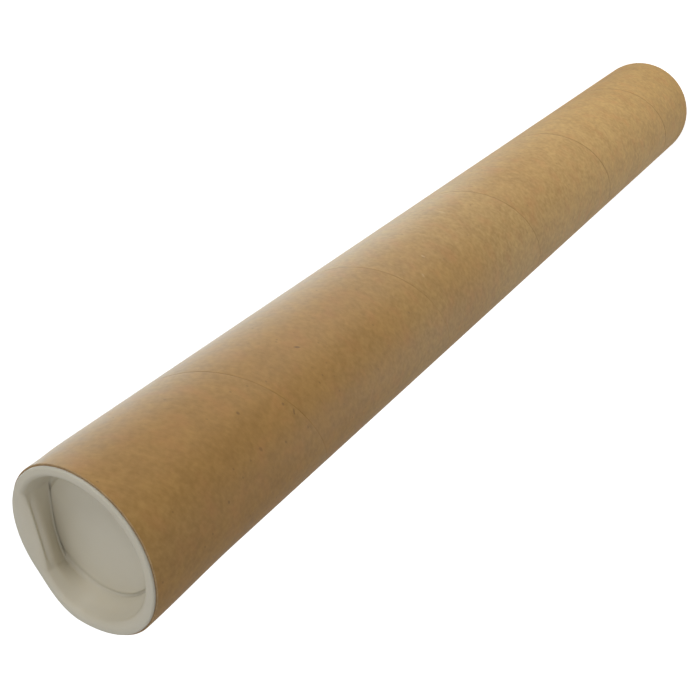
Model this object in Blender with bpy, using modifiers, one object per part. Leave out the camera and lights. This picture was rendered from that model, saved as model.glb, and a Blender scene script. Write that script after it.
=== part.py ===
"""A spiral-wound cardboard mailing tube that stands on end, closed by two push-in plastic plugs.

Units are metres and +Z is up. The tube's axis is the Z axis, and the part stands on the lower plug's
flange at Z = 0. The front is -Y, and bearings are counted from it, counterclockwise seen from above.
The upper plug has been knocked: its rim and the tube's mouth are pushed in at the back, and its skirt
has buckled inwards beside that place.
"""

import math

import bmesh
import bpy

MM = 0.001

# The cardboard tube: a 2 inch bore, 18 inches long, with the outer ply's butt seam as a fine groove
BORE_DIAMETER = 50.8 * MM
TUBE_WALL = 1.6 * MM
TUBE_LENGTH = 457.2 * MM
SEAM_PITCH = 85.3 * MM
SEAM_WIDTH = 0.5 * MM
SEAM_DEPTH = 0.3 * MM
SEAM_FRONT_DROP = 67.8 * MM  # from the mouth down to the seam's first crossing of the front

# The plugs: a flange that sits on the tube's end, a drawn-in skirt and a floor deep in the tube
FLANGE_INSET = 0.55 * MM  # the flange's edge lies this far inside the tube's outer surface
FLANGE_THICKNESS = 0.7 * MM
FLANGE_EDGE_RADIUS = 0.3 * MM
MOUTH_RADIUS = 1.2 * MM  # the rounding from the flange into the recess
SKIRT_WALL = 1.7 * MM
SKIRT_TAPER = 2.2 * MM
LAND_HEIGHT = 3.0 * MM  # the straight stretch of the skirt, which grips the bore
RECESS_DEPTH = 9.2 * MM
FLOOR_THICKNESS = 1.2 * MM
MOAT_WIDTH = 1.9 * MM  # the groove between the skirt's foot and the raised floor
MOAT_DEPTH = 0.45 * MM
FOOT_RISE = 0.8 * MM  # the skirt's foot ends this far above the floor
HEEL_RADIUS = 1.0 * MM

# The knock at the upper end
DENT_DEPTH = 2.0 * MM
DENT_LENGTH = 26.0 * MM  # how far down the tube the dent runs out
DENT_BEARING = math.radians(174)
DENT_HALF_SPAN = math.radians(38)
BUCKLE_DEPTH = 4.6 * MM
BUCKLE_SINK = 1.7 * MM
BUCKLE_BEARING = math.radians(138)
BUCKLE_HALF_SPAN = math.radians(42)
BUCKLE_FLATNESS = 2.2

# Fits and overruns
SEAT_GAP = 0.3 * MM
PLUG_CLEARANCE = 0.3 * MM
CUT_OVERRUN = 2.0 * MM

SEGMENTS = 72
ARC_STEPS = 3
DENT_RINGS = 5
MERGE_DISTANCE = 0.01 * MM
SHARP_EDGE = math.radians(35)
FRONT = -math.pi / 2

# What the driving dimensions give
bore_radius = BORE_DIAMETER / 2
tube_radius = bore_radius + TUBE_WALL
tube_base = FLANGE_THICKNESS + SEAT_GAP
tube_top = tube_base + TUBE_LENGTH
mouth_plane = tube_top + SEAT_GAP + FLANGE_THICKNESS
flange_radius = tube_radius - FLANGE_INSET
plug_radius = bore_radius - PLUG_CLEARANCE
land_end = FLANGE_THICKNESS + LAND_HEIGHT
foot_depth = RECESS_DEPTH - FOOT_RISE


def new_collection(name):
    collection = bpy.data.collections.new(name)
    bpy.context.scene.collection.children.link(collection)
    return collection


def plain_material(name, colour, roughness):
    material = bpy.data.materials.new(name)
    material.use_nodes = True
    shader = material.node_tree.nodes["Principled BSDF"]
    shader.inputs["Base Color"].default_value = (*colour, 1)
    shader.inputs["Roughness"].default_value = roughness
    shader.inputs["Metallic"].default_value = 0
    return material


def arc(centre_r, centre_z, radius, start, end):
    """Points of a rounding in the profile's plane, from one angle to another."""
    steps = [start + (end - start) * step / ARC_STEPS for step in range(ARC_STEPS + 1)]
    return [(centre_r + radius * math.cos(a), centre_z + radius * math.sin(a)) for a in steps]


def turned(name, profile, closed, collection, rise=0, turns=1):
    """An outline of (radius, height) points turned about Z by a Screw modifier, with a rise in each turn."""
    mesh = bpy.data.meshes.new(name)
    edges = [(i, i + 1) for i in range(len(profile) - 1)]
    if closed:
        edges.append((len(profile) - 1, 0))
    mesh.from_pydata([(r, 0, z) for r, z in profile], edges, [])
    obj = bpy.data.objects.new(name, mesh)
    collection.objects.link(obj)
    screw = obj.modifiers.new("turned", "SCREW")
    screw.angle = math.tau
    screw.screw_offset = rise
    screw.iterations = turns
    screw.steps = screw.render_steps = SEGMENTS
    screw.use_merge_vertices = rise == 0
    screw.merge_threshold = MERGE_DISTANCE
    return obj


def apply_modifiers(obj):
    """Swaps the object's mesh for the one that its modifiers make."""
    graph = bpy.context.evaluated_depsgraph_get()
    mesh = bpy.data.meshes.new_from_object(obj.evaluated_get(graph))
    obj.modifiers.clear()
    obj.data = mesh


def close_ends(obj):
    """Fills the two open ends of a swept shape and turns its faces outwards."""
    shape = bmesh.new()
    shape.from_mesh(obj.data)
    bmesh.ops.holes_fill(shape, edges=[edge for edge in shape.edges if edge.is_boundary])
    bmesh.ops.recalc_face_normals(shape, faces=shape.faces)
    shape.to_mesh(obj.data)
    shape.free()


def reshape(obj, moved):
    """Cuts every face into triangles and moves each corner where the function says."""
    shape = bmesh.new()
    shape.from_mesh(obj.data)
    bmesh.ops.triangulate(shape, faces=shape.faces)
    for vert in shape.verts:
        vert.co = moved(vert.co)
    shape.to_mesh(obj.data)
    shape.free()


def finish(obj, material):
    obj.data.materials.clear()
    obj.data.materials.append(material)
    obj.data.shade_smooth()
    obj.data.set_sharp_from_angle(angle=SHARP_EDGE)


def share_of_span(co, bearing, half_span):
    """How far a point lies from a bearing, round the axis: 0 on it and 1 at the end of the span."""
    turn = math.atan2(co.y, co.x) - FRONT - bearing
    turn = (turn + math.pi) % math.tau - math.pi
    return min(abs(turn) / half_span, 1)


def rim_dent(co):
    """How far the knock pushed the rim in, towards the axis."""
    return DENT_DEPTH * math.cos(share_of_span(co, DENT_BEARING, DENT_HALF_SPAN) * math.pi / 2) ** 2


def buckle(co):
    """The buckle's strength round the skirt, from 0 at its ends to 1 in the middle."""
    return 1 - share_of_span(co, BUCKLE_BEARING, BUCKLE_HALF_SPAN) ** BUCKLE_FLATNESS


def moved_in(co, inwards, down):
    """The point moved towards the axis and down. One on the axis has nothing to move it in."""
    share = 1 - inwards / math.hypot(co.x, co.y) if inwards else 1
    return (co.x * share, co.y * share, co.z - down)


def dented_tube(co):
    """A point of the tube, in its own frame with Z = 0 at its foot, after the knock at its mouth."""
    drop = min((TUBE_LENGTH - co.z) / DENT_LENGTH, 1)
    return moved_in(co, rim_dent(co) * math.cos(drop * math.pi / 2) ** 2, 0)


def dented_plug(co):
    """A point of the upper plug, in its own frame with Z = 0 at its flange's face, after the knock.

    The flange over the cardboard moves with the tube's mouth. Inside the bore the skirt's upper part
    also buckles inwards and sinks, and its foot and the floor stay round.
    """
    seat = bore_radius - PLUG_CLEARANCE / 2
    if math.hypot(co.x, co.y) > seat:
        return moved_in(co, rim_dent(co), 0)
    left = min(max((foot_depth + co.z) / (foot_depth - land_end), 0), 1)
    inwards = rim_dent(co) + BUCKLE_DEPTH * buckle(co)
    return moved_in(co, inwards * left, BUCKLE_SINK * buckle(co) * left)


def tube_profile():
    """The wall's section from its foot at Z = 0, with closer rings where the mouth is dented."""
    drops = [DENT_LENGTH * ring / DENT_RINGS for ring in range(DENT_RINGS + 1)]
    outer = [(tube_radius, TUBE_LENGTH - drop) for drop in drops]
    inner = [(bore_radius, TUBE_LENGTH - drop) for drop in reversed(drops)]
    return outer + [(tube_radius, 0), (bore_radius, 0)] + inner


def plug_profile():
    """The plug's half section from the middle of its floor, up and over the flange and down outside."""
    mouth_radius = plug_radius - SKIRT_WALL
    foot_radius = mouth_radius - SKIRT_TAPER
    floor_radius = foot_radius - MOAT_WIDTH
    heel_radius = foot_radius + FLOOR_THICKNESS
    underside = -(RECESS_DEPTH + FLOOR_THICKNESS)
    moat_floor = -(RECESS_DEPTH + MOAT_DEPTH)
    recess = [
        (0, -RECESS_DEPTH),
        (floor_radius, -RECESS_DEPTH),
        (floor_radius + MOAT_DEPTH, moat_floor),
        (foot_radius - FOOT_RISE, moat_floor),
        (foot_radius - MOAT_DEPTH / 2, -RECESS_DEPTH),
        (foot_radius, -foot_depth),
    ]
    mouth = arc(mouth_radius + MOUTH_RADIUS, -MOUTH_RADIUS, MOUTH_RADIUS, math.pi, math.pi / 2)
    rim = arc(flange_radius - FLANGE_EDGE_RADIUS, -FLANGE_EDGE_RADIUS, FLANGE_EDGE_RADIUS, math.pi / 2, 0)
    skirt = [
        (flange_radius, -FLANGE_THICKNESS),
        (bore_radius, -FLANGE_THICKNESS),
        (plug_radius, -FLANGE_THICKNESS),
        (plug_radius, -land_end),
    ]
    heel = arc(heel_radius - HEEL_RADIUS, underside + HEEL_RADIUS, HEEL_RADIUS, 0, -math.pi / 2)
    return recess + mouth + [(bore_radius, 0)] + rim + skirt + heel + [(0, underside)]


def make_tube(parts, cutters):
    """The wound tube, with the butt seam of its outer ply cut as a right-handed helical groove."""
    tube = turned("cardboard_tube", tube_profile(), True, parts)
    apply_modifiers(tube)

    section = [
        (tube_radius + CUT_OVERRUN, SEAM_WIDTH / 2),
        (tube_radius + CUT_OVERRUN, -SEAM_WIDTH / 2),
        (tube_radius - SEAM_DEPTH, -SEAM_WIDTH / 2),
        (tube_radius - SEAM_DEPTH, SEAM_WIDTH / 2),
    ]
    turns = math.ceil(TUBE_LENGTH / SEAM_PITCH) + 2
    cutter = turned("seam_cutter", section, True, cutters, rise=SEAM_PITCH, turns=turns)
    apply_modifiers(cutter)
    close_ends(cutter)
    crossings_below = math.ceil((TUBE_LENGTH - SEAM_FRONT_DROP) / SEAM_PITCH)
    half_step = math.pi / SEGMENTS
    cutter.rotation_euler.z = FRONT + half_step
    cutter.location.z = TUBE_LENGTH - SEAM_FRONT_DROP + SEAM_PITCH * (half_step / math.tau - crossings_below)
    cutter.hide_render = True
    cutter.display_type = "WIRE"

    groove = tube.modifiers.new("seam", "BOOLEAN")
    groove.operation = "DIFFERENCE"
    groove.solver = "EXACT"
    groove.object = cutter
    bpy.context.view_layer.update()
    apply_modifiers(tube)
    reshape(tube, dented_tube)
    tube.location.z = tube_base
    finish(tube, plain_material("kraft_cardboard", (0.36, 0.22, 0.10), 0.85))
    return tube


def make_plugs(parts):
    """The two plugs are alike as moulded: the lower one is turned over, and the upper one is knocked."""
    upper = turned("top_end_plug", plug_profile(), False, parts)
    apply_modifiers(upper)
    reshape(upper, dented_plug)
    upper.location.z = mouth_plane
    finish(upper, plain_material("white_plastic_top", (0.66, 0.64, 0.58), 0.4))

    lower = turned("bottom_end_plug", plug_profile(), False, parts)
    apply_modifiers(lower)
    lower.rotation_euler.x = math.pi
    finish(lower, plain_material("white_plastic_bottom", (0.66, 0.64, 0.58), 0.4))
    return upper, lower


def build():
    for obj in list(bpy.data.objects):
        bpy.data.objects.remove(obj, do_unlink=True)
    parts = new_collection("cardboard_mailing_tube")
    cutters = new_collection("cutters")
    axis = bpy.data.objects.new("tube_axis", None)
    parts.objects.link(axis)
    for obj in (make_tube(parts, cutters), *make_plugs(parts)):
        obj.parent = axis


build()
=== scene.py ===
"""The looks of a spiral-wound cardboard mailing tube that is closed by two push-in plastic plugs.

Units are metres, +Z is up and the front is -Y. Bearings round the tube are counted from the front,
counterclockwise seen from above.
"""

import math

import bmesh
import bpy
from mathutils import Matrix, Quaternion, Vector


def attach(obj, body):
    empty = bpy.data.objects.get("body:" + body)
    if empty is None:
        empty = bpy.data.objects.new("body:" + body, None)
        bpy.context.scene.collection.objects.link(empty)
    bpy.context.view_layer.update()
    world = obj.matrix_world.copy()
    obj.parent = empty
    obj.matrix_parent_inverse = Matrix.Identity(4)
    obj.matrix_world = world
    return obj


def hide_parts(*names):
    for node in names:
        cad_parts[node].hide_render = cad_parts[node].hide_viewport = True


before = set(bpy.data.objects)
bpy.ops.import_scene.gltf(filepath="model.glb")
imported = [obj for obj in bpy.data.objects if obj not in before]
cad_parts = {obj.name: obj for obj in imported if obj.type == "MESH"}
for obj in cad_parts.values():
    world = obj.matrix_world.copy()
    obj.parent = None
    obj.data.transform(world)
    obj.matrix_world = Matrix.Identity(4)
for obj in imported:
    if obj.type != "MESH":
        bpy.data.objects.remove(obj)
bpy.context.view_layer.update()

# The tube: narrow webs of kraft board, wound on a mandrel as a right-handed spiral and glued into one
# wall, then sawn to length. The edges of the outer ply meet in a butt seam, a fine line that climbs round
# the tube. The mouth has been knocked in at the back.
MM = 0.001
FRONT = -math.pi / 2
BORE_RADIUS = 25.4 * MM
TUBE_RADIUS = 27.0 * MM
TUBE_FOOT = 1.0 * MM
TUBE_MOUTH = 458.2 * MM
PLIES = 4
SEAM_PITCH = 85.3 * MM
CLIMB = math.atan(SEAM_PITCH / (math.tau * TUBE_RADIUS))
PLY_WIDTH = SEAM_PITCH * math.cos(CLIMB)
OUTER_SEAM_HEIGHT = TUBE_MOUTH - 67.8 * MM  # where the outer seam first crosses the front, under the mouth
INNER_SEAM_HEIGHT = TUBE_MOUTH - 31.0 * MM
MIDDLE_RADIUS = (BORE_RADIUS + TUBE_RADIUS) / 2  # the middle of the wall
STEPS_IN_A_TURN = 216
ROWS_IN_A_PLY = 8
SEAM_GAP = 0.12 * MM
SEAM_DEPTH = 0.08 * MM
SEAM_FLOOR_SHARE = 0.7  # of the gap: how wide the seam's flat bottom is
SEAM_SHOULDER_SHARE = 0.2  # of the depth: how deep the seam still is at the gap's edge
SEAM_SHOULDER = 0.05 * MM  # how far beyond the gap the paper turns down into it
SEAM_BORDER = 0.45 * MM  # how far beyond the gap a second row of points keeps the paper's face true
SEAM_OPEN_BEARING = math.radians(60)
SEAM_PRESSED_HEIGHTS = (100 * MM, 300 * MM)
SEAM_PRESSED_SHARES = (0.2, 0.5)  # how far it is pressed shut at those heights, on average round the tube
SAWN_EDGE = 0.12 * MM
SAWN_DEPTH = 0.09 * MM  # within this of an end, a face that looks along the tube is sawn board
SAWN_LEAN = 0.3  # the least part of such a face's direction that is along the tube
GLUE_LINE_WIDTH = 0.12 * MM
GLUE_LINE_DEPTH = 0.07 * MM
# Points closer than these are one point, lie on the cut, at the sawn end, or on the paper's face
WELD = 0.002 * MM
ON_CUT = 0.0001 * MM
AT_END = 0.001 * MM
ON_FACE = 0.01 * MM
SMOOTH_ANGLE = math.radians(38)  # a sharper edge than this is shaded as a crease
EDGE_SLOT = 1
BORE_SLOT = 2
# The knock, and the bulge that it left beside itself: bearing and spans before and after it in degrees,
# depth at the mouth and reach down the tube in millimetres
KNOCKS = [(168, 112, 47, 3.9, 16), (268, 50, 60, -0.8, 40)]
# How far under the mouth the rows of points lie that the knock bends
KNOCK_DROPS = [drop * MM for drop in (40, 32, 25, 20, 16, 13.5, 11, 8.5, 6, 4, 2)]


def bearing_of(co):
    return math.atan2(co.y, co.x) - FRONT


def from_end(co):
    """How far a place on the tube lies from the nearer sawn end."""
    return min(co.z - TUBE_FOOT, TUBE_MOUTH - co.z)


def clamped(share):
    """The share, kept from 0 to 1."""
    return min(max(share, 0), 1)


def turn_between(bearing, other):
    """The shorter way round from one bearing to another, from -pi to pi."""
    return (other - bearing + math.pi) % math.tau - math.pi


def tight(co):
    """How far the seam is pressed shut, as a share of its depth.

    It stands open on the right, and is tightest on the left near the mouth.
    """
    low, high = SEAM_PRESSED_HEIGHTS
    least, most = SEAM_PRESSED_SHARES
    pressed = least + (most - least) * clamped((co.z - low) / (high - low))
    return pressed - pressed * math.cos(bearing_of(co) - SEAM_OPEN_BEARING)


def faded(share):
    """Falls smoothly from 1 where the share is 0 to 0 where it is 1 or more."""
    return math.cos(min(share, 1) * math.pi / 2) ** 2


def knocked_in(co, drop):
    """How far the knock pushed the wall in at this bearing and this far under the mouth."""
    inwards = 0
    for bearing, before, after, depth, reach in KNOCKS:
        turn = turn_between(math.radians(bearing), bearing_of(co))
        span = math.radians(before if turn < 0 else after)
        inwards += depth * MM * faded(abs(turn) / span) * faded(drop / (reach * MM))
    return inwards


def move(vert, inwards):
    """Moves a vertex towards the axis. One that lies on the axis always comes with a move of 0."""
    if inwards:
        vert.co.xy *= 1 - inwards / vert.co.xy.length


def wind_ply(board, radius, seam_height, sunk):
    """Spins one pitch of a ply's face once round the mandrel as it climbs, and repeats that turn upwards.

    Each turn's edge meets the next one's in the seam, which is sunk into the wall by the given depth.
    """
    lip = SEAM_GAP / 2
    edge = [
        (radius - sunk, 0),
        (radius - sunk, lip * SEAM_FLOOR_SHARE),
        (radius - sunk * SEAM_SHOULDER_SHARE, lip),
        (radius, lip + SEAM_SHOULDER),
        (radius, lip + SEAM_BORDER),
    ]
    face = [(radius, SEAM_PITCH * row / ROWS_IN_A_PLY) for row in range(1, ROWS_IN_A_PLY)]
    far_edge = [(r, SEAM_PITCH - z) for r, z in reversed(edge)]
    turns_below = math.ceil((seam_height - TUBE_FOOT) / SEAM_PITCH) + 1
    turns_above = math.ceil((TUBE_MOUTH - seam_height) / SEAM_PITCH)
    lowest = seam_height - turns_below * SEAM_PITCH
    web = bmesh.new()
    verts = [web.verts.new((0, -r, lowest + z)) for r, z in edge + face + far_edge]
    edges = [web.edges.new(pair) for pair in zip(verts, verts[1:])]
    bmesh.ops.spin(
        web, geom=verts + edges, cent=(0, 0, 0), axis=(0, 0, 1), dvec=(0, 0, SEAM_PITCH / STEPS_IN_A_TURN),
        angle=math.tau, steps=STEPS_IN_A_TURN, use_merge=False, use_duplicate=False,
    )
    turn = web.verts[:] + web.edges[:] + web.faces[:]
    for number in range(1, turns_below + turns_above + 1):
        copy = bmesh.ops.duplicate(web, geom=turn)["geom"]
        copied = [part for part in copy if isinstance(part, bmesh.types.BMVert)]
        bmesh.ops.translate(web, verts=copied, vec=(0, 0, SEAM_PITCH * number))
    bmesh.ops.remove_doubles(web, verts=web.verts, dist=WELD)
    wound = bpy.data.meshes.new("wound_ply")
    web.to_mesh(wound)
    web.free()
    board.from_mesh(wound)
    bpy.data.meshes.remove(wound)


def cut(board, height, keep=None):
    """Cuts the plies along a level ring, and takes away what lies beyond the part that is kept."""
    bmesh.ops.bisect_plane(
        board, geom=board.verts[:] + board.edges[:] + board.faces[:], dist=ON_CUT,
        plane_co=(0, 0, height), plane_no=(0, 0, 1), clear_outer=keep == "below", clear_inner=keep == "above",
    )


def close_sawn_end(board, height, inwards):
    """Closes the wall at a sawn end, with a fine groove where each two plies meet."""
    rim = [e for e in board.edges if e.is_boundary and all(abs(v.co.z - height) < AT_END for v in e.verts)]
    ring = [e for e in rim if e.verts[0].co.xy.length < MIDDLE_RADIUS]
    outer = [e for e in rim if e.verts[0].co.xy.length > MIDDLE_RADIUS]
    reached = BORE_RADIUS
    half = GLUE_LINE_WIDTH / 2
    for ply in range(1, PLIES):
        glue_line = BORE_RADIUS + (TUBE_RADIUS - BORE_RADIUS) * ply / PLIES
        for radius, sunk in ((glue_line - half, 0), (glue_line, GLUE_LINE_DEPTH), (glue_line + half, 0)):
            grown = bmesh.ops.extrude_edge_only(board, edges=ring)["geom"]
            ring = [e for e in grown if isinstance(e, bmesh.types.BMEdge)]
            verts = [v for v in grown if isinstance(v, bmesh.types.BMVert)]
            bmesh.ops.scale(board, vec=(radius / reached, radius / reached, 1), verts=verts)
            for vert in verts:
                vert.co.z = height + inwards * sunk
            reached = radius
    bmesh.ops.triangle_fill(board, use_beauty=True, use_dissolve=False, edges=ring + outer, normal=(0, 0, 1))


def on_ply(turned, rise):
    """Where a place lies along and across its ply, by its bearing, whole turns included, and its rise.

    The rise is counted from where the ply's seam first crosses the front under the mouth.
    """
    arc = TUBE_RADIUS * turned
    return arc * math.cos(CLIMB) + rise * math.sin(CLIMB), rise * math.cos(CLIMB) - arc * math.sin(CLIMB)


def lay_out_plies(board):
    """A UV map in metres that runs along and across each ply, as the web ran before it was wound."""
    ply_map = board.loops.layers.uv.new("ply")
    for face in board.faces:
        middle = face.calc_center_median()
        bearing = bearing_of(middle)
        seam_height = INNER_SEAM_HEIGHT if middle.xy.length < MIDDLE_RADIUS else OUTER_SEAM_HEIGHT
        turn = math.floor((middle.z - seam_height) / SEAM_PITCH - bearing / math.tau)
        for loop in face.loops:
            turned = bearing + turn_between(bearing, bearing_of(loop.vert.co)) + math.tau * turn
            loop[ply_map].uv = on_ply(turned, loop.vert.co.z - seam_height)


def piece_from(shape, name, materials):
    """Turns a finished bmesh into an object of the scene, smooth but for its creases."""
    mesh = bpy.data.meshes.new(name)
    shape.to_mesh(mesh)
    shape.free()
    mesh.shade_smooth()
    mesh.set_sharp_from_angle(angle=SMOOTH_ANGLE)
    for material in materials:
        mesh.materials.append(material)
    piece = bpy.data.objects.new(name, mesh)
    bpy.context.scene.collection.objects.link(piece)
    return piece


def colour(red, green, blue):
    """A colour given as a screen shows it, 0 to 255, as the linear one that a shader takes."""
    shares = [channel / 255 for channel in (red, green, blue)]
    linear = [s / 12.92 if s <= 0.04045 else ((s + 0.055) / 1.055) ** 2.4 for s in shares]
    return (*linear, 1)


class Wire:
    """A socket of a material's nodes. Sums and products of wires add the Math nodes that work them out."""

    def __init__(self, socket):
        self.socket = socket

    def node(self, kind, settings, inputs, output=0):
        """Adds a node: its settings first, then the values or wires of its sockets."""
        tree = self.socket.id_data
        made = tree.nodes.new(kind)
        for name, value in settings.items():
            setattr(made, name, value)
        for name, value in inputs.items():
            if isinstance(value, Wire):
                tree.links.new(value.socket, made.inputs[name])
            else:
                made.inputs[name].default_value = value
        return Wire(made.outputs[output])

    def math(self, operation, first, second=0.0):
        return self.node("ShaderNodeMath", {"operation": operation}, {0: first, 1: second})

    def __add__(self, other):
        return self.math("ADD", self, other)

    def __radd__(self, other):
        return self.math("ADD", other, self)

    def __sub__(self, other):
        return self.math("SUBTRACT", self, other)

    def __rsub__(self, other):
        return self.math("SUBTRACT", other, self)

    def __mul__(self, other):
        return self.math("MULTIPLY", self, other)

    def __rmul__(self, other):
        return self.math("MULTIPLY", other, self)

    def part(self, axis):
        """One of a place's three numbers."""
        return self.node("ShaderNodeSeparateXYZ", {}, {0: self}, output="XYZ".index(axis))

    def stretched(self, x, y, z):
        """A place whose axes are multiplied, by about as many features of a pattern as a metre holds."""
        return self.node("ShaderNodeVectorMath", {"operation": "MULTIPLY"}, {0: self, 1: (x, y, z)})

    def cloud(self, detail, roughness=0.5, flat=True):
        """Fractal noise at this place, from about -0.5 to 0.5."""
        settings = {"noise_dimensions": "2D" if flat else "3D"}
        inputs = {"Vector": self, "Scale": 1.0, "Detail": detail, "Roughness": roughness}
        return self.node("ShaderNodeTexNoise", settings, inputs) - 0.5

    def step(self, start, end):
        """Rises smoothly from 0 where the wire is at start to 1 where it is at end."""
        inputs = {"Value": self, "From Min": start, "From Max": end, "To Min": 0.0, "To Max": 1.0}
        return self.node("ShaderNodeMapRange", {"interpolation_type": "SMOOTHSTEP"}, inputs)

    def between(self, first, second):
        """The mix of two colours, first where the wire is 0 and second where it is 1."""
        inputs = {"Factor": self, 6: first, 7: second}
        return self.node("ShaderNodeMix", {"data_type": "RGBA"}, inputs, output=2)

    def bump(self, strength, distance):
        """The way a surface faces where this wire is its height, and 1 is as high as the distance."""
        inputs = {"Strength": strength, "Distance": distance, "Height": self}
        return self.node("ShaderNodeBump", {}, inputs)


def new_material(name, **constants):
    """A material with one shader, and the settings that are the same all over it."""
    material = bpy.data.materials.new(name)
    material.use_nodes = True
    shader = material.node_tree.nodes["Principled BSDF"]
    for socket, value in constants.items():
        shader.inputs[socket.replace("_", " ")].default_value = value
    return material, shader


def place_wire(material, output, uv_map=""):
    """The wire that a material's patterns start from: its own place on the piece or in the piece's UV map."""
    if uv_map:
        node = material.node_tree.nodes.new("ShaderNodeUVMap")
        node.uv_map = uv_map
    else:
        node = material.node_tree.nodes.new("ShaderNodeTexCoord")
    return Wire(node.outputs[output])


def connect(shader, socket, wire):
    shader.id_data.links.new(wire.socket, shader.inputs[socket])


FLECK_EDGE = (1.5, 0.6)  # where a fleck fades out and where it is whole, in half lengths from its middle


def speck(place, bearing, drop, length, width, lean):
    """A fleck in the paper, by its bearing and its drop under the mouth: 1 on it and 0 round it."""
    turned = math.radians(bearing)
    rise = TUBE_MOUTH - drop * MM - OUTER_SEAM_HEIGHT
    turn = math.floor(rise / SEAM_PITCH - turned / math.tau)
    middle = (*on_ply(turned + math.tau * turn, rise), 0)
    centred = place.node("ShaderNodeVectorMath", {"operation": "SUBTRACT"}, {0: place, 1: middle})
    inputs = {"Vector": centred, "Angle": lean}
    leant = centred.node("ShaderNodeVectorRotate", {"rotation_type": "Z_AXIS"}, inputs)
    away = leant.stretched(2 / (length * MM), 2 / (width * MM), 0)
    far = away.node("ShaderNodeVectorMath", {"operation": "LENGTH"}, {0: away}, output=1)
    return far.step(*FLECK_EDGE)


# Heights from which the paper grows browner towards the mouth and at which it is brownest
BROWNER_HEIGHTS = (120 * MM, 460 * MM)
# The dark line beside the seam, part the joint's own colour and part painted shade of its groove: it fades in
# down the tube, and also from the axis towards the side where the seam is open. Its reach is how far from the
# seam it ends and where it is full.
SEAM_SHADE_HEIGHTS = (300 * MM, 100 * MM)
SEAM_SHADE_SIDES = (-8.1 * MM, 21.6 * MM)
SEAM_SHADE_REACH = (0.45 * MM, 0.1 * MM)


def kraft(name, paper, browner_paper, flecked):
    """Unbleached kraft paper: grain, cloudy formation, stray dark shives, and browner towards the mouth.

    Both papers are pairs of colours, that of the grain's dark hollows and that of its pale tops.
    """
    material, shader = new_material(name, Metallic=0.0, IOR=1.45)
    place = place_wire(material, "UV", "ply")
    spot = place_wire(material, "Object")
    height = spot.part("Z")
    formation = place.stretched(210, 230, 1).cloud(3)
    blotches = place.stretched(50, 62, 1).cloud(2)
    drift = place.stretched(9, 14, 1).cloud(1)
    fibres = place.stretched(360, 1700, 1).cloud(2, 0.6)
    grain = place.stretched(520, 600, 1).cloud(2, 0.5)
    tone = (0.5 + formation * 0.5 + blotches * 0.35 + fibres * 0.25 + grain * 0.55).step(0.0, 1.0)
    # Browner towards the mouth, and in random drifts.
    browner_share = height.step(*BROWNER_HEIGHTS) * 0.85 + drift * 0.9 + blotches * 0.35
    ink = browner_share.step(0.0, 1.0).between(tone.between(*paper), tone.between(*browner_paper))
    reddened = place.stretched(95, 130, 1).cloud(2) + formation * 0.3
    ink = (reddened.step(-0.05, 0.4) * 0.3).between(ink, colour(186, 124, 70))

    cells = place.stretched(230, 330, 1)
    voronoi = ("ShaderNodeTexVoronoi", {"voronoi_dimensions": "2D"}, {"Vector": cells, "Scale": 1.0})
    shives = cells.node(*voronoi)
    chosen = cells.node(*voronoi, output=1)
    dots = shives.step(0.13, 0.05) * chosen.part("X").step(0.90, 0.97)
    ink = (dots * 0.35).between(ink, colour(96, 66, 40))

    # Painted shade of the seam's groove, over the joint's own darker colour: deeper lower down and where the
    # seam stands open.
    across = place.part("Y")
    from_seam = across.math("MINIMUM", across, PLY_WIDTH - across)
    below = height.step(*SEAM_SHADE_HEIGHTS)
    to_open_side = spot.part("X") * math.sin(SEAM_OPEN_BEARING) - spot.part("Y") * math.cos(SEAM_OPEN_BEARING)
    seam_shade = below * 0.32 + to_open_side.step(*SEAM_SHADE_SIDES) * 0.12
    ink = (from_seam.step(*SEAM_SHADE_REACH) * seam_shade).between(ink, colour(112, 80, 48))
    if flecked:
        for flecks, fleck_ink in ((DARK_FLECKS, colour(92, 62, 38)), (PALE_FLECKS, colour(214, 186, 142))):
            for bearing, drop, length, width, lean, depth in flecks:
                ink = (speck(place, bearing, drop, length, width, lean) * depth).between(ink, fleck_ink)
    connect(shader, "Base Color", ink)
    connect(shader, "Roughness", 0.5 + formation * 0.12 + fibres * 0.1)
    relief = fibres * 0.4 + grain * 0.6 + formation * 0.4
    connect(shader, "Normal", relief.bump(0.25, 0.05 * MM))
    return material


def board_edge(name):
    """The sawn end of the wall: grey-brown pulp between the plies, with the saw's fuzz."""
    material, shader = new_material(name, Metallic=0.0, IOR=1.45, Sheen_Weight=0.2, Sheen_Roughness=0.5)
    place = place_wire(material, "Object")
    fuzz = place.stretched(2600, 2600, 2600).cloud(2, 0.7, flat=False)
    patches = place.stretched(240, 240, 240).cloud(2, flat=False)
    tone = 0.5 + fuzz * 1.1 + patches * 0.8
    connect(shader, "Base Color", tone.step(0.0, 1.0).between(colour(142, 110, 72), colour(200, 168, 122)))
    connect(shader, "Roughness", 0.82 + fuzz * 0.15)
    connect(shader, "Normal", fuzz.bump(0.5, 0.06 * MM))
    return material


# Bearing in degrees, drop under the mouth and length and width in millimetres, lean, and strength
DARK_FLECKS = [
    (15.1, 88.7, 2.0, 0.8, -0.5, 0.6), (-36.2, 32.5, 1.0, 0.8, 0.0, 0.4), (4.1, 51.5, 1.1, 0.9, 0.3, 0.45),
    (-8.9, 67.8, 1.0, 0.8, 0.0, 0.45), (-17.0, 70.2, 1.5, 0.7, 0.9, 0.45), (-22.5, 51.2, 1.6, 1.0, 0.0, 0.35),
    (-29.9, 61.9, 0.9, 0.7, 0.0, 0.35), (-32.1, 73.3, 0.9, 0.7, 0.4, 0.3),
]
PALE_FLECKS = [
    (35.7, 204.6, 2.6, 0.7, 0.2, 0.4), (13.0, 170.3, 1.6, 0.8, 0.0, 0.35), (1.1, 162.0, 1.4, 0.8, 0.5, 0.3),
]

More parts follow.
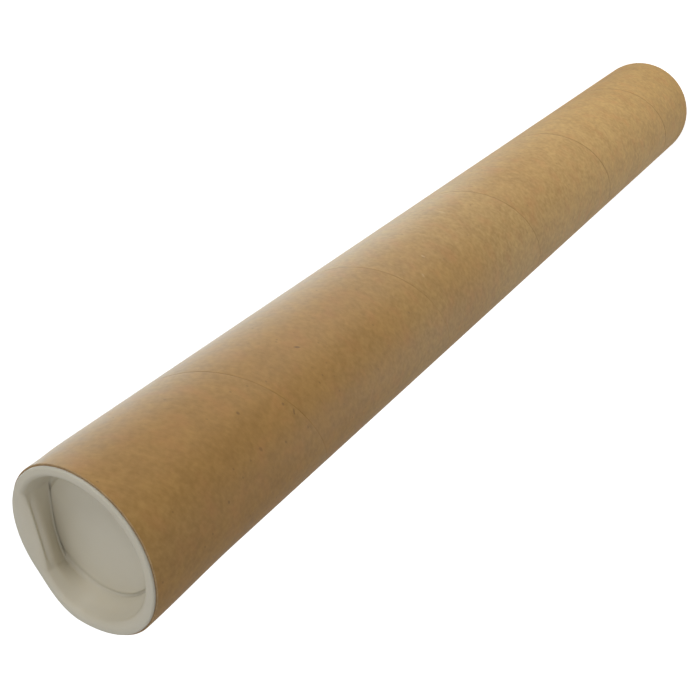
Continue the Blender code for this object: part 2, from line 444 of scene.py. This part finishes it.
board = bmesh.new()
wind_ply(board, TUBE_RADIUS, OUTER_SEAM_HEIGHT, SEAM_DEPTH)
wind_ply(board, BORE_RADIUS, INNER_SEAM_HEIGHT, -SEAM_DEPTH)
cut(board, TUBE_MOUTH, keep="below")
cut(board, TUBE_FOOT, keep="above")
for drop in [*KNOCK_DROPS, SAWN_EDGE]:
    cut(board, TUBE_MOUTH - drop)
cut(board, TUBE_FOOT + SAWN_EDGE)
for vert in board.verts:
    wall = TUBE_RADIUS if vert.co.xy.length > MIDDLE_RADIUS else BORE_RADIUS
    move(vert, (vert.co.xy.length - wall) * tight(vert.co))
    if from_end(vert.co) < AT_END and vert.co.xy.length > TUBE_RADIUS - ON_FACE:
        move(vert, SAWN_EDGE)
close_sawn_end(board, TUBE_MOUTH, -1)
close_sawn_end(board, TUBE_FOOT, 1)
bmesh.ops.recalc_face_normals(board, faces=board.faces)
lay_out_plies(board)
for face in board.faces:
    middle = face.calc_center_median()
    if from_end(middle) < SAWN_DEPTH and abs(face.normal.z) > SAWN_LEAN:
        face.material_index = EDGE_SLOT
    elif middle.xy.length < MIDDLE_RADIUS:
        face.material_index = BORE_SLOT
for vert in board.verts:
    move(vert, knocked_in(vert.co, TUBE_MOUTH - vert.co.z))

kraft_face = kraft(
    "kraft_face", flecked=True,
    paper=[colour(160, 124, 64), colour(199, 163, 101)],
    browner_paper=[colour(157, 115, 53), colour(185, 141, 73)],
)
kraft_bore = kraft(
    "kraft_bore", flecked=False,
    paper=[colour(138, 110, 76), colour(178, 150, 112)],
    browner_paper=[colour(144, 110, 72), colour(174, 140, 98)],
)
tube = piece_from(board, "spiral_wound_tube", [kraft_face, board_edge("sawn_board_edge"), kraft_bore])
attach(tube, "tube")
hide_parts("cardboard_tube")

# The plugs: thin polythene caps, moulded alike. A flange lies on the sawn end of the tube, a skirt drawn
# in like a cup grips the bore, and a raised floor sits in the tube with a shallow groove round it. The
# lower one is pressed home whole; the tube stands on its flange.
FLANGE_RADIUS = 26.45 * MM
FLANGE_THICKNESS = 0.97 * MM
SKIRT_RADIUS = 25.1 * MM
CUP_RADIUS = 23.4 * MM
FOOT_RADIUS = 21.2 * MM
FLOOR_RADIUS = 19.3 * MM
FLOOR_DEPTH = 9.2 * MM
FLOOR_THICKNESS = 1.2 * MM
GROOVE_DEPTH = 0.4 * MM
GROOVE_SLOPE = 0.4 * MM  # how far each side of the groove leans out
LAND_DEPTH = 3.7 * MM  # how far down the skirt runs along the bore, before it draws in
CUP_FOOT_DEPTH = 8.4 * MM
SKIRT_FOOT_WALL = 1.2 * MM
GATE_RADIUS = 1.6 * MM  # the stub in the middle of the underside, where the plastic ran into the mould
GATE_SLOPE = 0.2 * MM
GATE_HEIGHT = 0.35 * MM
PLUG_STEPS = 240
LIP_ROUNDING = 1.3  # in millimetres, as all the corners' roundings are
LIP_SEGMENTS = 7
CORNER_SEGMENTS = 4
LONGEST_RUN = 0.8 * MM
MOST_CUTS = 9


def plug_shape():
    """Spins a plug's half section, from the middle of its floor up the cup and down the skirt.

    Its flange's face lies at Z = 0. Each corner has a rounding radius in millimetres, and the long runs
    between them are cut into short pieces, so that the knock can bend them.
    """
    underside = -FLOOR_DEPTH - FLOOR_THICKNESS
    corners = [
        (0, -FLOOR_DEPTH, 0),
        (FLOOR_RADIUS, -FLOOR_DEPTH, 0.25),
        (FLOOR_RADIUS + GROOVE_SLOPE, -FLOOR_DEPTH - GROOVE_DEPTH, 0.3),
        (FOOT_RADIUS - GROOVE_SLOPE, -FLOOR_DEPTH - GROOVE_DEPTH, 0.6),
        (FOOT_RADIUS, -CUP_FOOT_DEPTH, 0.8),
        (CUP_RADIUS, 0, LIP_ROUNDING),
        (FLANGE_RADIUS, 0, 0.6),
        (FLANGE_RADIUS, -FLANGE_THICKNESS, 0.2),
        (SKIRT_RADIUS, -FLANGE_THICKNESS, 0.1),
        (SKIRT_RADIUS, -LAND_DEPTH, 0.6),
        (FOOT_RADIUS + SKIRT_FOOT_WALL, underside, 1.0),
        (GATE_RADIUS, underside, 0.15),
        (GATE_RADIUS - GATE_SLOPE, underside - GATE_HEIGHT, 0.12),
        (0, underside - GATE_HEIGHT, 0),
    ]
    plug = bmesh.new()
    verts = [plug.verts.new((0, -r, z)) for r, z, _ in corners]
    for pair in zip(verts, verts[1:]):
        plug.edges.new(pair)
    for r, z, radius in corners:
        if radius:
            corner = min(plug.verts, key=lambda vert: (vert.co - Vector((0, -r, z))).length)
            segments = LIP_SEGMENTS if radius == LIP_ROUNDING else CORNER_SEGMENTS
            bmesh.ops.bevel(
                plug, geom=[corner], offset=radius * MM, offset_type="OFFSET", profile=0.5,
                segments=segments, affect="VERTICES", material=-1, clamp_overlap=True,
            )
    for edge in plug.edges[:]:
        if edge.calc_length() > LONGEST_RUN:
            cuts = min(math.floor(edge.calc_length() / LONGEST_RUN), MOST_CUTS)
            bmesh.ops.subdivide_edges(plug, edges=[edge], cuts=cuts)
    bmesh.ops.spin(
        plug, geom=plug.verts[:] + plug.edges[:], cent=(0, 0, 0), axis=(0, 0, 1), dvec=(0, 0, 0),
        angle=math.tau, steps=PLUG_STEPS, use_merge=True, use_duplicate=False,
    )
    bmesh.ops.remove_doubles(plug, verts=plug.verts, dist=WELD)
    bmesh.ops.recalc_face_normals(plug, faces=plug.faces)
    return plug


def polythene(name):
    """Milky white polythene: a soft gloss, faint clouding, and fine rub marks from handling."""
    material, shader = new_material(
        name, Metallic=0.0, IOR=1.5, Subsurface_Weight=0.4, Subsurface_Scale=3 * MM,
        Subsurface_Radius=(1.0, 0.9, 0.75))
    place = place_wire(material, "Object")
    clouding = place.stretched(70, 70, 70).cloud(2, flat=False)
    drift = place.stretched(22, 22, 22).cloud(1, flat=False)
    rubs = place.stretched(500, 90, 500).cloud(3, 0.6, flat=False)
    dust = place.stretched(1800, 1800, 1800).cloud(1, flat=False)
    tone = (0.5 + clouding * 0.8 + drift * 0.7).step(0.0, 1.0)
    milk = tone.between(colour(207, 200, 181), colour(216, 209, 191))
    milk = (dust.step(0.22, 0.36) * 0.12).between(milk, colour(150, 138, 118))
    connect(shader, "Base Color", milk)
    connect(shader, "Roughness", 0.4 + rubs * 0.18 + clouding * 0.1)
    skin = rubs * 0.4 + place.stretched(900, 900, 900).cloud(2, flat=False) * 0.6
    connect(shader, "Normal", skin.bump(0.15, 0.03 * MM))
    return material


lower_plug = plug_shape()
turned_over = Quaternion((1, 0, 0), math.pi).to_matrix()
bmesh.ops.rotate(lower_plug, verts=lower_plug.verts, cent=(0, 0, 0), matrix=turned_over)
lower = piece_from(lower_plug, "lower_plug", [polythene("lower_polythene")])
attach(lower, "bottom_plug")
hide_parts("bottom_end_plug")

# The upper plug is the same moulding after the knock. Its flange went in with the cardboard, and there the
# cup's lip folded inwards along one straight crease, while its foot and floor stayed round.
FLANGE_FACE = 459.2 * MM
CREASE_BEARING = math.radians(141)
CREASE_REACH = 16.3 * MM  # how far from the axis the crease runs, where it comes nearest
CREASE_SPAN = math.radians(60)  # how far to each side of that the fold is worked out
LIP_START = CUP_RADIUS + LIP_ROUNDING * MM
LIP_TURN = math.radians(80)
FOOT_STAYS = 0.15  # the share of the fold that the cup's foot doesn't follow
FOLD_LANDING = 0.15 * MM  # how far over the floor the folded wall ends
UNDERCUT = 0.4 * MM  # how far the wall draws back close under the folded lip
UNDERCUT_SHARE = 0.25  # it is never more than this share of the fold
UNDERCUT_DEPTH = 2.0 * MM
UNDERCUT_SPAN = 0.7 * MM


def lip_share(reach, depth):
    """How far round the lip's rounding a point lies: 0 on the flange's flat face and 1 on the cup's wall."""
    return clamped(math.atan2(LIP_START - reach, LIP_ROUNDING * MM - depth) / LIP_TURN)


upper_plug = plug_shape()
for vert in upper_plug.verts:
    reach, depth = vert.co.xy.length, -vert.co.z
    pushed = knocked_in(vert.co, 0)
    off_crease = abs(turn_between(CREASE_BEARING, bearing_of(vert.co)))
    crease = CREASE_REACH / math.cos(off_crease) if off_crease < CREASE_SPAN else CUP_RADIUS
    fold = max(CUP_RADIUS - pushed - crease, 0)
    sunk = clamped((depth - LIP_ROUNDING * MM) / (CUP_FOOT_DEPTH - LIP_ROUNDING * MM))
    left = clamped((CUP_FOOT_DEPTH - depth) / (CUP_FOOT_DEPTH - LAND_DEPTH))
    folded = fold * lip_share(reach, depth) * (1 - FOOT_STAYS * sunk ** 2)
    folded *= clamped((FLOOR_DEPTH - depth) / FOLD_LANDING)
    if reach < LIP_START:
        undercut = min(UNDERCUT, fold * UNDERCUT_SHARE)
        folded -= undercut * clamped(1 - abs(depth - UNDERCUT_DEPTH) / UNDERCUT_SPAN)
    move(vert, pushed * left + folded)
bmesh.ops.translate(upper_plug, verts=upper_plug.verts, vec=(0, 0, FLANGE_FACE))
upper = piece_from(upper_plug, "upper_plug", [polythene("upper_polythene")])
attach(upper, "top_plug")
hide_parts("top_end_plug")

# The floor: a wide round sheet of matt white board that the tube stands on. It looks white to the camera,
# but for the shadow that the tube leaves, and lights the tube no more than white board would.
SHEET_RADIUS = 4.0
SHEET_STEPS = 96
SHEET_GLOW = 0.75  # what the camera sees of it beside the light that it reflects

sheet = bmesh.new()
bmesh.ops.create_circle(sheet, cap_ends=True, radius=SHEET_RADIUS, segments=SHEET_STEPS)
floor_material, floor_shader = new_material(
    "white_sheet", Roughness=0.9, Base_Color=(0.8, 0.8, 0.8, 1), Emission_Color=(1, 1, 1, 1))
rays = floor_material.node_tree.nodes.new("ShaderNodeLightPath")
connect(floor_shader, "Emission Strength", Wire(rays.outputs["Is Camera Ray"]) * SHEET_GLOW)
floor = piece_from(sheet, "floor", [floor_material])

# The light: a sky that glows overhead, in front, on the left and behind, and that the camera sees as
# white; a soft lamp on the tube's right; low ones round its foot; and a bluish card lying behind it on the
# right, which shows in gloss alone.
world = bpy.data.worlds.new("sky")
bpy.context.scene.world = world
world.use_nodes = True
sky = world.node_tree.nodes["Background"]
sky.inputs["Color"].default_value = (1, 1, 1, 1)
# Bearing, elevation, strength and sharpness
GLOWS = [(0, 90, 0.6, 2), (0, 90, 0.1, 6), (-15, 38, 0.6, 6), (-95, 30, 0.24, 6), (180, 15, 0.45, 3)]
direction = Wire(world.node_tree.nodes.new("ShaderNodeTexCoord").outputs["Generated"])


def towards(bearing, elevation):
    """The direction of a bearing and an elevation, both in degrees."""
    turned, raised = math.radians(bearing), math.radians(elevation)
    level = math.cos(raised)
    return Vector((math.sin(turned) * level, -math.cos(turned) * level, math.sin(raised)))


ray = Wire(world.node_tree.nodes.new("ShaderNodeLightPath").outputs["Is Camera Ray"])
sky_light = ray
for bearing, elevation, strength, sharpness in GLOWS:
    inputs = {0: direction, 1: towards(bearing, elevation)}
    facing = direction.node("ShaderNodeVectorMath", {"operation": "DOT_PRODUCT"}, inputs, output=1)
    glow = facing.math("POWER", facing.math("MAXIMUM", facing, 0.0), sharpness) * strength
    sky_light = sky_light + glow * (1 - ray)
connect(sky, "Strength", sky_light)


def lamp(name, place, target, width, height, power):
    """A soft rectangular lamp that the camera doesn't see, aimed at its target, with its power in watts."""
    light = bpy.data.lights.new(name, "AREA")
    light.shape = "RECTANGLE"
    light.size = width
    light.size_y = height
    light.energy = power
    stand = bpy.data.objects.new(name, light)
    stand.location = place
    stand.rotation_euler = (Vector(target) - Vector(place)).to_track_quat("-Z", "Y").to_euler()
    stand.visible_camera = False
    bpy.context.scene.collection.objects.link(stand)
    return stand


KEY_PLACE = towards(53, 0) * 1.2 + Vector((0, 0, 0.85))
KEY_TARGET = Vector((0, 0, 0.28))
KEY_SIDE = 0.5
KEY_POWER = 5.0
LOW_LAMPS = [(-70, 0.15), (30, 0.34), (70, 0.09)]  # bearing in degrees, and power
LOW_TARGET = Vector((0, 0, 0.06))
LOW_REACH = 0.33
LOW_WIDTH = 0.25
LOW_HEIGHT = 0.1
CARD_PLACE = Vector((0.85, 0.62, 0.004))
CARD_SIDE = 1.4
CARD_POWER = 14.5
CARD_BLUE = (0.74, 0.93, 1.0)

lamp("key", KEY_PLACE, KEY_TARGET, KEY_SIDE, KEY_SIDE, KEY_POWER)
for number, (bearing, power) in enumerate(LOW_LAMPS):
    place = LOW_TARGET + towards(bearing, 0) * LOW_REACH
    lamp(f"low_{number}", place, LOW_TARGET, LOW_WIDTH, LOW_HEIGHT, power)
card = lamp("card", CARD_PLACE, CARD_PLACE + Vector((0, 0, 1)), CARD_SIDE, CARD_SIDE, CARD_POWER)
card.data.color = CARD_BLUE
card.visible_diffuse = False

# The camera looks down at the knocked end from in front of the tube, and leans so far over that the tube
# runs up to the right.
LENS = 57.54  # in millimetres, as the sensor's width is
SENSOR_WIDTH = 36
NEAREST_SEEN = 0.01
CAMERA_PLACE = Vector((-0.0103, -0.27067, 0.6216))
CAMERA_TARGET = Vector((-0.0034, 0.0001, 0.3224))
CAMERA_LEAN = math.radians(-128.71)

camera = bpy.data.objects.new("camera", bpy.data.cameras.new("camera"))
camera.data.lens = LENS
camera.data.sensor_width = SENSOR_WIDTH
camera.data.clip_start = NEAREST_SEEN
camera.location = CAMERA_PLACE
aim = (CAMERA_TARGET - CAMERA_PLACE).to_track_quat("-Z", "Y")
camera.rotation_euler = (aim @ Quaternion((0, 0, 1), CAMERA_LEAN)).to_euler()
bpy.context.scene.collection.objects.link(camera)
bpy.context.scene.camera = camera

bpy.context.scene.view_settings.view_transform = "Standard"
